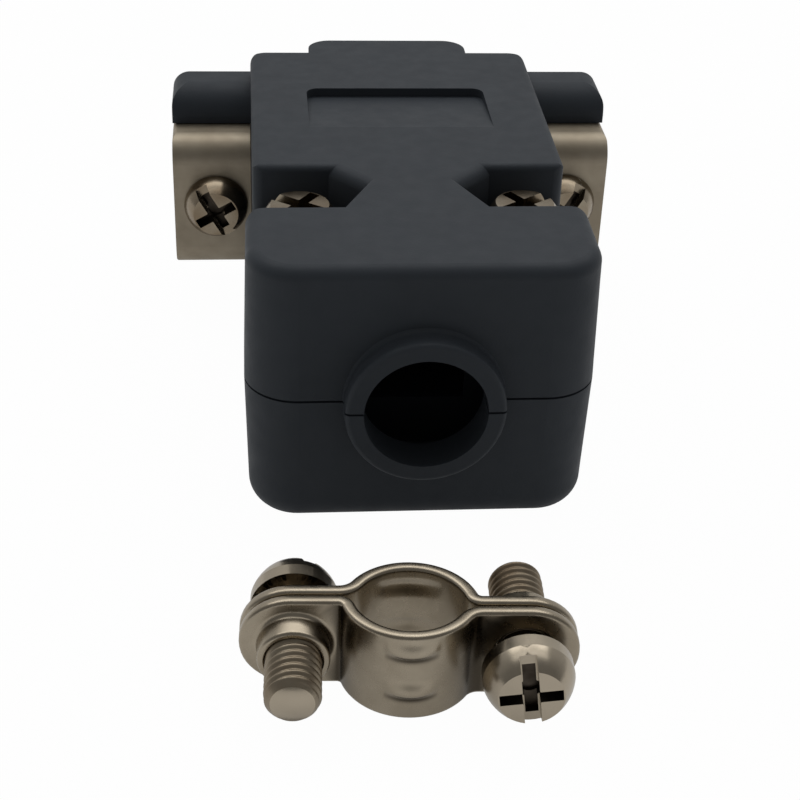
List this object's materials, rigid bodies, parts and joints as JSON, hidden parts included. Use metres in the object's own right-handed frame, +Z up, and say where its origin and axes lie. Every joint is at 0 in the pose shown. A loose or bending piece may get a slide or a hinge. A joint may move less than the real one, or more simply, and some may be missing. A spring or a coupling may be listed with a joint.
{
  "type": "d-sub connector",
  "caption": "D-sub cable plug in a split charcoal plastic hood with round cable collar, saddle brackets and turning jackscrews, its metal cable clamp standing in front.",
  "frame": {"origin": "midway between the two jackscrews, on the front of the metal flange at the mating end", "axes": "+Y out of the mating end away from the cable, +X to the right seen from the cable end, +Z up"},
  "size_m": [0.031, 0.0573, 0.0178],
  "materials": {
    "hood_plastic": "matte charcoal moulded plastic",
    "nickel_sheet": "satin nickel-plated steel sheet",
    "nickel_screw": "nickel-plated steel",
    "shell_metal": "tin-plated steel sheet",
    "insulator_plastic": "matte black moulded plastic",
    "contact_gold": "gold-flashed brass"
  },
  "bodies": {
    "root": {"hood_upper": "hood_plastic", "hood_lower": "hood_plastic", "hood_screw_left": "nickel_screw", "hood_screw_right": "nickel_screw", "hood_nut_left": "nickel_screw", "hood_nut_right": "nickel_screw", "bracket_left": "nickel_sheet", "bracket_right": "nickel_sheet", "shell_front": "shell_metal", "shell_rear": "shell_metal", "insulator_front": "insulator_plastic", "insulator_rear": "insulator_plastic", "contact_1": "contact_gold", "contact_2": "contact_gold", "contact_3": "contact_gold", "contact_4": "contact_gold", "contact_5": "contact_gold", "contact_6": "contact_gold", "contact_7": "contact_gold", "contact_8": "contact_gold", "contact_9": "contact_gold", "clamp_plate_near": "nickel_sheet", "clamp_plate_far": "nickel_sheet", "clamp_screw_left": "nickel_screw", "clamp_screw_right": "nickel_screw"},
    "jackscrew_left": {"jackscrew_left": "nickel_screw"},
    "jackscrew_right": {"jackscrew_right": "nickel_screw"}
  },
  "joints": [
    {"name": "jackscrew_left_turn", "type": "hinge", "parent": "root", "child": "jackscrew_left", "pos_m": [-0.01249, 0, 0], "axis": [0, 1, 0], "continuous": true},
    {"name": "jackscrew_right_turn", "type": "hinge", "parent": "root", "child": "jackscrew_right", "pos_m": [0.01249, 0, 0], "axis": [0, 1, 0], "continuous": true}
  ]
}
